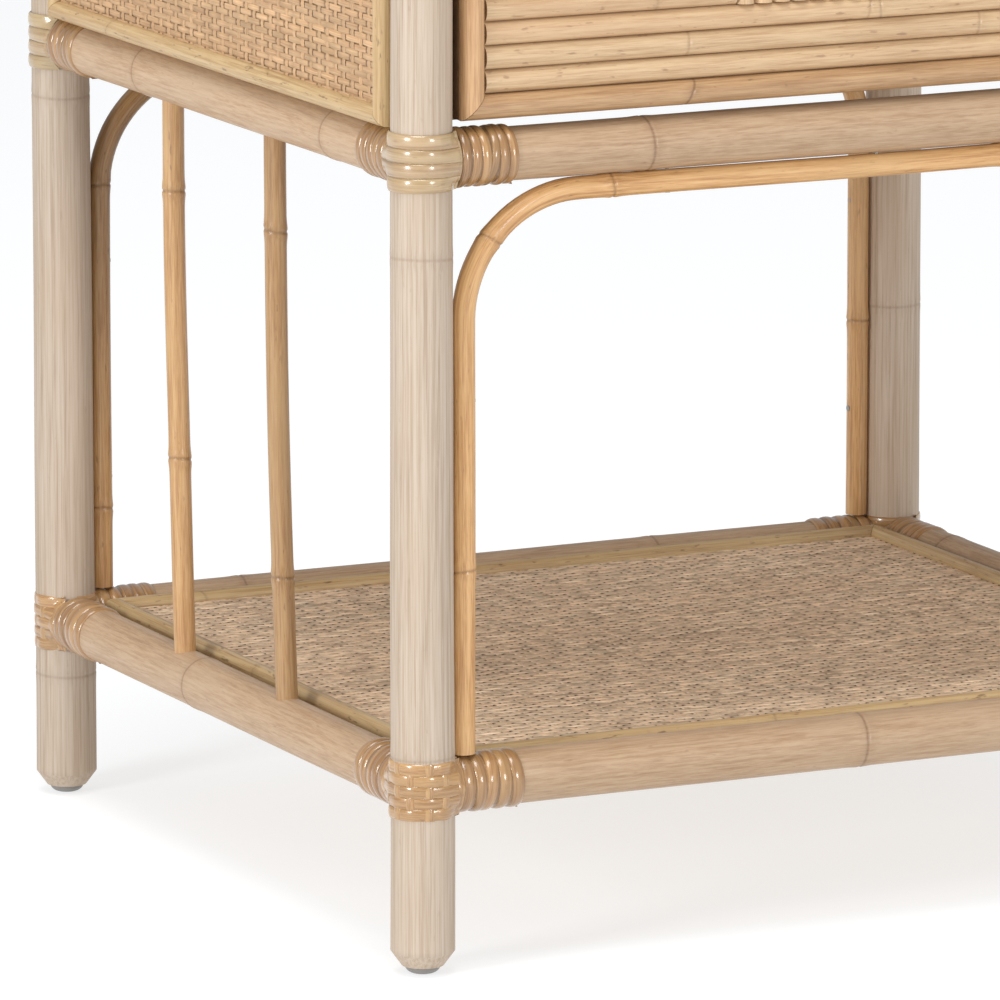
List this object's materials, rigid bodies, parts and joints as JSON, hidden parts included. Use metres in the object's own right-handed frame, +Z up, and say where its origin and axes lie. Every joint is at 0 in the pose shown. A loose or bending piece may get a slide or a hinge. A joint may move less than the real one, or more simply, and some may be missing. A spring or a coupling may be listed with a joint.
{
  "type": "nightstand",
  "caption": "Rattan nightstand of lashed poles with a reeded drawer under a woven top, bent-cane arches and side spindles, and an open woven shelf below.",
  "frame": {"origin": "on the floor, under the middle of the whole nightstand with its drawer shut", "axes": "+Z up, -Y towards the drawer's front, +X to the right as seen from the front"},
  "size_m": [0.5022, 0.4658, 0.6004],
  "materials": {
    "post_rattan": "matte, limed and sanded",
    "rail_rattan": "satin",
    "honey_cane": "satin",
    "binding_peel": "gloss",
    "beading": "satin",
    "woven_side": "woven peel",
    "woven_shelf": "woven peel",
    "drawer_reed": "satin",
    "drawer_frame_cane": "satin",
    "plywood": "matte",
    "batten_wood": "matte",
    "knob_wood": "satin",
    "glide_plastic": "matte",
    "steel": "satin"
  },
  "bodies": {
    "frame": {"post_front_left": "post_rattan", "post_front_right": "post_rattan", "post_back_left": "post_rattan", "post_back_right": "post_rattan", "foot_glides": "glide_plastic", "rail_low_front": "rail_rattan", "rail_low_back": "rail_rattan", "rail_low_left": "rail_rattan", "rail_low_right": "rail_rattan", "rail_mid_front": "rail_rattan", "rail_mid_back": "rail_rattan", "rail_mid_left": "rail_rattan", "rail_mid_right": "rail_rattan", "rail_top_front": "rail_rattan", "rail_top_back": "rail_rattan", "rail_top_left": "rail_rattan", "rail_top_right": "rail_rattan", "bindings_low": "binding_peel", "bindings_mid": "binding_peel", "bindings_top": "binding_peel", "frame_screws": "steel", "frame_nails": "steel", "arch_front": "honey_cane", "arch_back": "honey_cane", "spindle_left_front": "honey_cane", "spindle_left_back": "honey_cane", "spindle_right_front": "honey_cane", "spindle_right_back": "honey_cane", "shelf_board": "plywood", "shelf_battens": "batten_wood", "shelf_mat": "woven_shelf", "shelf_beading": "beading", "top_board": "plywood", "top_battens": "batten_wood", "top_mat": "woven_shelf", "top_beading": "beading", "side_left_board": "plywood", "side_left_mat": "woven_side", "side_left_beading": "beading", "side_right_board": "plywood", "side_right_mat": "woven_side", "side_right_beading": "beading", "back_board": "plywood", "back_mat": "woven_side", "back_beading": "beading", "runner_left": "batten_wood", "runner_right": "batten_wood", "runner_screws": "steel", "drawer_kickers": "batten_wood", "drawer_stops": "batten_wood"},
    "drawer": {"drawer_front_board": "plywood", "drawer_front_frame": "drawer_frame_cane", "drawer_reeds_across": "drawer_reed", "drawer_reeds_upright": "drawer_reed", "drawer_side_left": "batten_wood", "drawer_side_right": "batten_wood", "drawer_back": "batten_wood", "drawer_bottom": "plywood", "drawer_knob": "knob_wood", "drawer_screws": "steel"}
  },
  "joints": [
    {"name": "drawer_slide", "type": "slide", "parent": "frame", "child": "drawer", "axis": [0, -1, 0], "range_m": [0, 0.3]}
  ]
}
